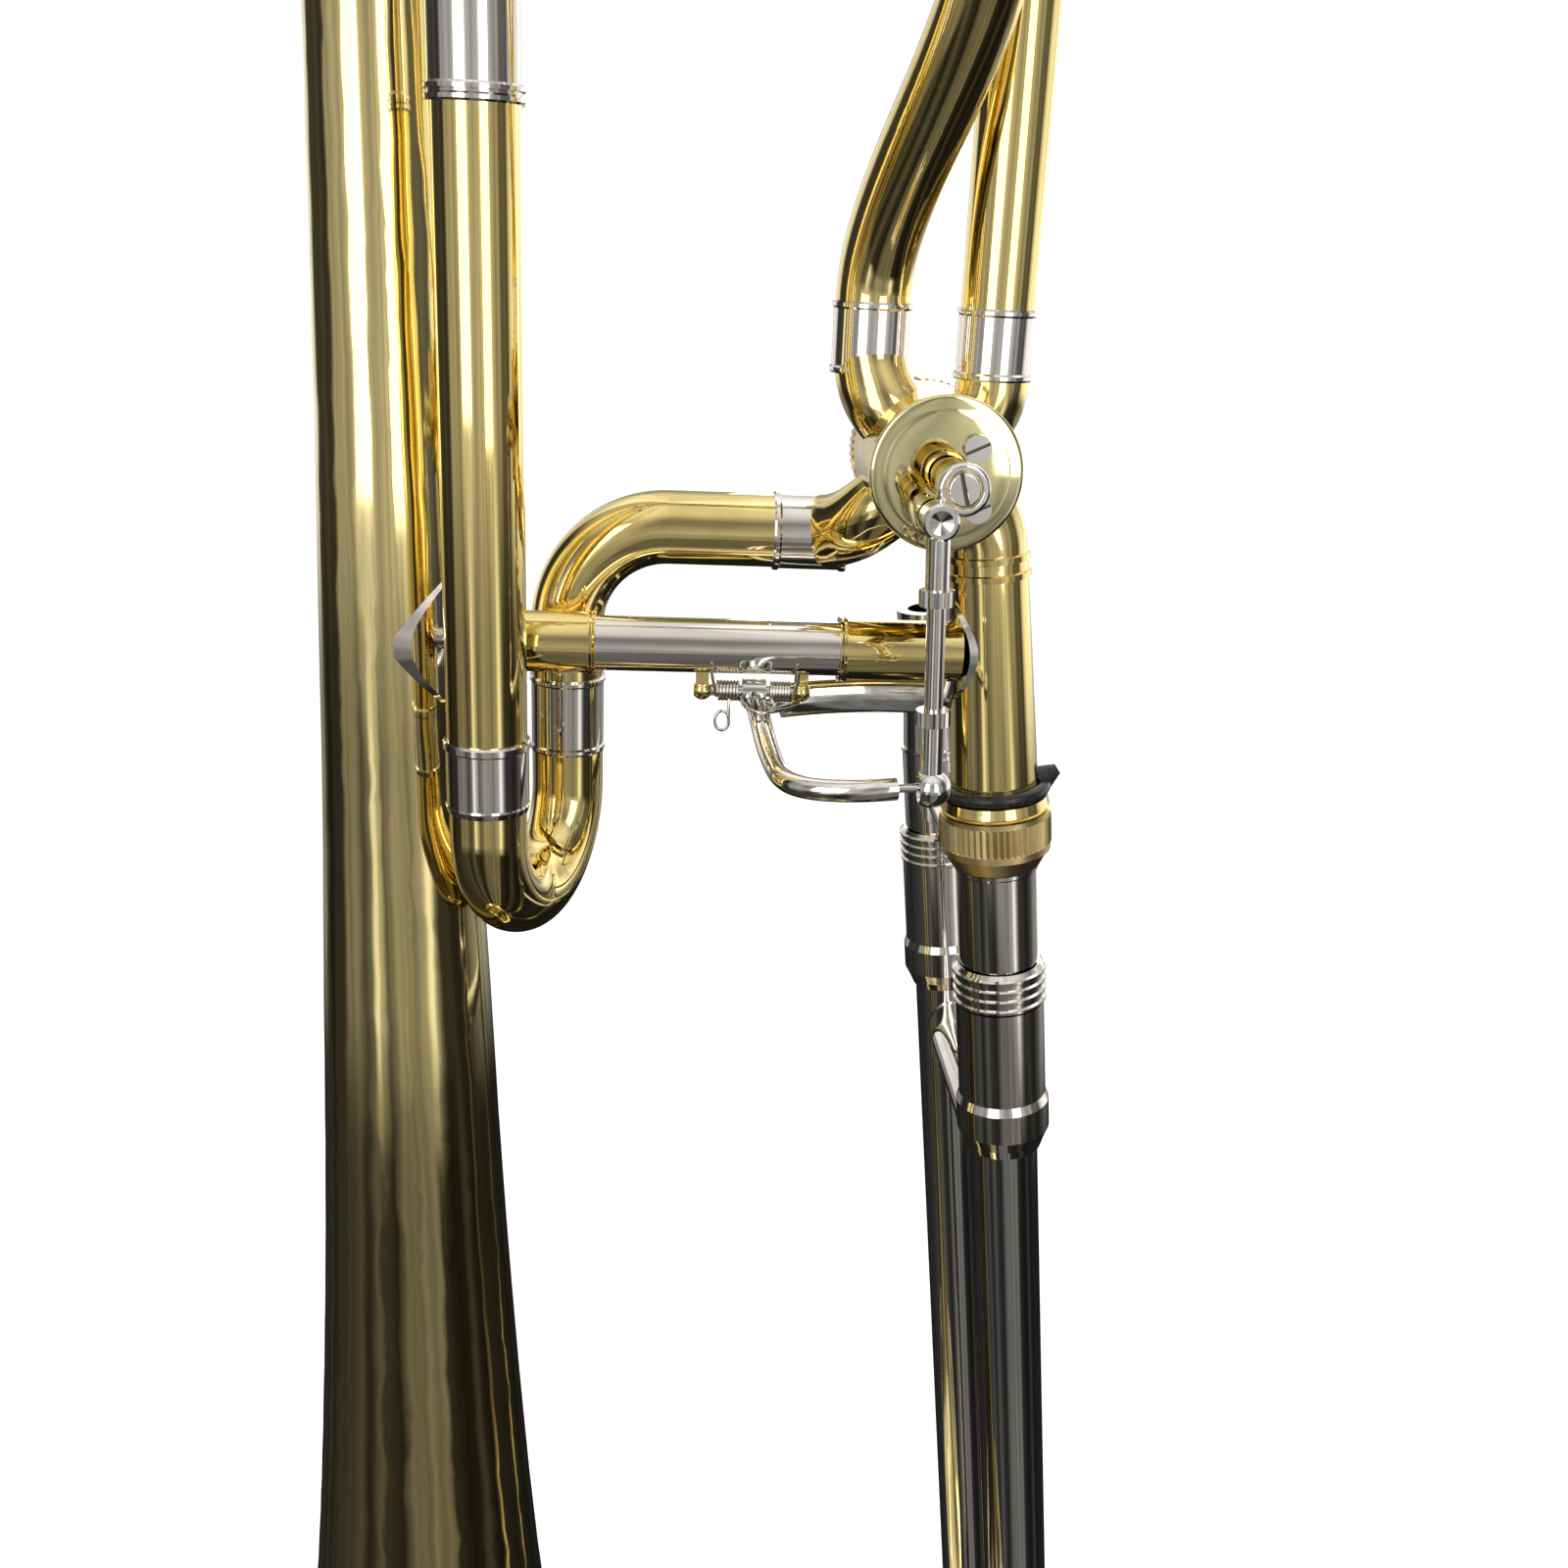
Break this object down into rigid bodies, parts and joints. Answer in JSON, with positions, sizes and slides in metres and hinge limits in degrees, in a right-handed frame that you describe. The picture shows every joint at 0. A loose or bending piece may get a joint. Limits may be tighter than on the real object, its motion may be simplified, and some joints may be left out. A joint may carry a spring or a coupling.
{
  "type": "trombone",
  "caption": "Tenor slide trombone with an F rotary valve, its thumb lever and ball-jointed linkage, two tuning slides and a working hand slide.",
  "frame": {"origin": "centre of the bell mouth, on the bell axis", "axes": "+Z along the bell axis from the mouth towards the tuning slide, +X from the bell to the gooseneck, +Y from the near slide tube to the mouthpiece tube"},
  "size_m": [0.3243, 0.2186, 1.0974],
  "materials": {
    "lacquered_brass": "polished yellow brass under clear lacquer",
    "nickel_silver": "polished nickel silver",
    "chromed_tube": "polished plated slide tube",
    "satin_brass": "satin brass with turning marks",
    "spring_steel": "bright spring wire",
    "black_rubber": "matte black rubber",
    "cork": "natural cork"
  },
  "bodies": {
    "bell_section": {"bell": "lacquered_brass", "bell_rim_bead": "lacquered_brass", "main_leg_tube": "lacquered_brass", "tuning_slide_outer_legs": "nickel_silver", "f_long_leg": "lacquered_brass", "f_u_bend": "lacquered_brass", "f_elbow": "lacquered_brass", "f_s_bend": "lacquered_brass", "f_slide_outer_legs": "nickel_silver", "tube_ferrules": "nickel_silver", "main_brace_tube": "nickel_silver", "main_brace_sleeves": "lacquered_brass", "brace_flanges": "nickel_silver", "upper_braces": "nickel_silver", "valve_casing": "lacquered_brass", "valve_knuckles": "lacquered_brass", "bearing_plates": "lacquered_brass", "valve_front_disc": "satin_brass", "rear_valve_cap": "nickel_silver", "stop_plate_screws": "nickel_silver", "gooseneck": "lacquered_brass", "slide_receiver": "lacquered_brass", "rubber_bumper": "black_rubber", "lever_saddles": "lacquered_brass", "lever_hinge_pin": "nickel_silver", "lever_spring": "spring_steel", "inner_slide_tubes": "chromed_tube", "cork_barrels": "nickel_silver", "mouthpiece_receiver": "nickel_silver", "inner_slide_brace": "nickel_silver"},
    "bell_lock": {"bell_lock_nut": "lacquered_brass"},
    "valve_rotor": {"rotor": "satin_brass", "stop_arm": "lacquered_brass", "stop_arm_hub_ring": "nickel_silver", "spindle_screw": "nickel_silver"},
    "link_ball": {"link_ball": "nickel_silver"},
    "linkage_rod": {"link_upper_socket": "nickel_silver", "link_rod": "nickel_silver", "link_lock_nuts": "nickel_silver", "link_lower_socket": "nickel_silver"},
    "thumb_lever": {"lever_arm": "nickel_silver", "thumb_paddle": "nickel_silver"},
    "main_tuning_slide": {"tuning_slide_inner_legs": "nickel_silver", "tuning_slide_crook": "lacquered_brass", "tuning_slide_ferrules": "nickel_silver"},
    "f_tuning_slide": {"f_slide_inner_legs": "nickel_silver", "f_slide_crook": "lacquered_brass", "f_slide_ferrules": "nickel_silver"},
    "hand_slide": {"outer_slide_tubes": "chromed_tube", "outer_slide_sleeves": "nickel_silver", "hand_brace": "nickel_silver", "slide_bow": "lacquered_brass", "bow_ferrules": "nickel_silver", "bumper_socket": "nickel_silver", "slide_bumper": "black_rubber", "water_key_seat": "nickel_silver"},
    "slide_lock": {"slide_lock_ring": "nickel_silver"},
    "water_key": {"water_key": "nickel_silver", "water_key_cork": "cork"}
  },
  "joints": [
    {"name": "lever_press", "type": "hinge", "parent": "bell_section", "child": "thumb_lever", "pos_m": [0.0736, -0.005, 0.4404], "axis": [-1, 0, 0], "range_deg": [0, 14.37], "stiffness_Nm_per_rad": 0.06},
    {"name": "rotor_turn", "type": "hinge", "parent": "bell_section", "child": "valve_rotor", "pos_m": [0.108, 0, 0.488], "axis": [0, 1, 0], "range_deg": [0, 90.2]},
    {"name": "link_swivel", "type": "hinge", "parent": "valve_rotor", "child": "link_ball", "pos_m": [0.10312, -0.0436, 0.48312], "axis": [0, 1, 0], "range_deg": [-92, 0]},
    {"name": "link_tilt", "type": "hinge", "parent": "link_ball", "child": "linkage_rod", "pos_m": [0.10312, -0.0436, 0.48312], "axis": [-1, 0, 0], "range_deg": [0, 1.1]},
    {"name": "main_tuning_pull", "type": "slide", "parent": "bell_section", "child": "main_tuning_slide", "axis": [0, 0, 1], "range_m": [0, 0.05]},
    {"name": "f_tuning_pull", "type": "slide", "parent": "bell_section", "child": "f_tuning_slide", "axis": [0, 0, 1], "range_m": [0, 0.034]},
    {"name": "hand_slide_travel", "type": "slide", "parent": "bell_section", "child": "hand_slide", "axis": [0.1115, 0, -0.9938], "range_m": [0, 0.6]},
    {"name": "slide_lock_turn", "type": "hinge", "parent": "hand_slide", "child": "slide_lock", "pos_m": [0.13192, 0, 0.37372], "axis": [-0.1115, 0, 0.9938], "range_deg": [0, 30]},
    {"name": "bell_lock_turn", "type": "hinge", "parent": "bell_section", "child": "bell_lock", "pos_m": [0.12791, 0, 0.40949], "axis": [-0.1115, 0, 0.9938], "continuous": true},
    {"name": "water_key_lift", "type": "hinge", "parent": "hand_slide", "child": "water_key", "pos_m": [0.18492, 0, -0.21001], "axis": [0, 1, 0], "range_deg": [0, 12], "stiffness_Nm_per_rad": 0.02, "springref_deg": -28.65}
  ],
  "couplings": [
    {"joint": "rotor_turn", "follows": "lever_press", "ratio": 6.2596},
    {"joint": "link_swivel", "follows": "lever_press", "ratio": -6.2578},
    {"joint": "link_tilt", "follows": "lever_press", "ratio": 0.06934}
  ]
}
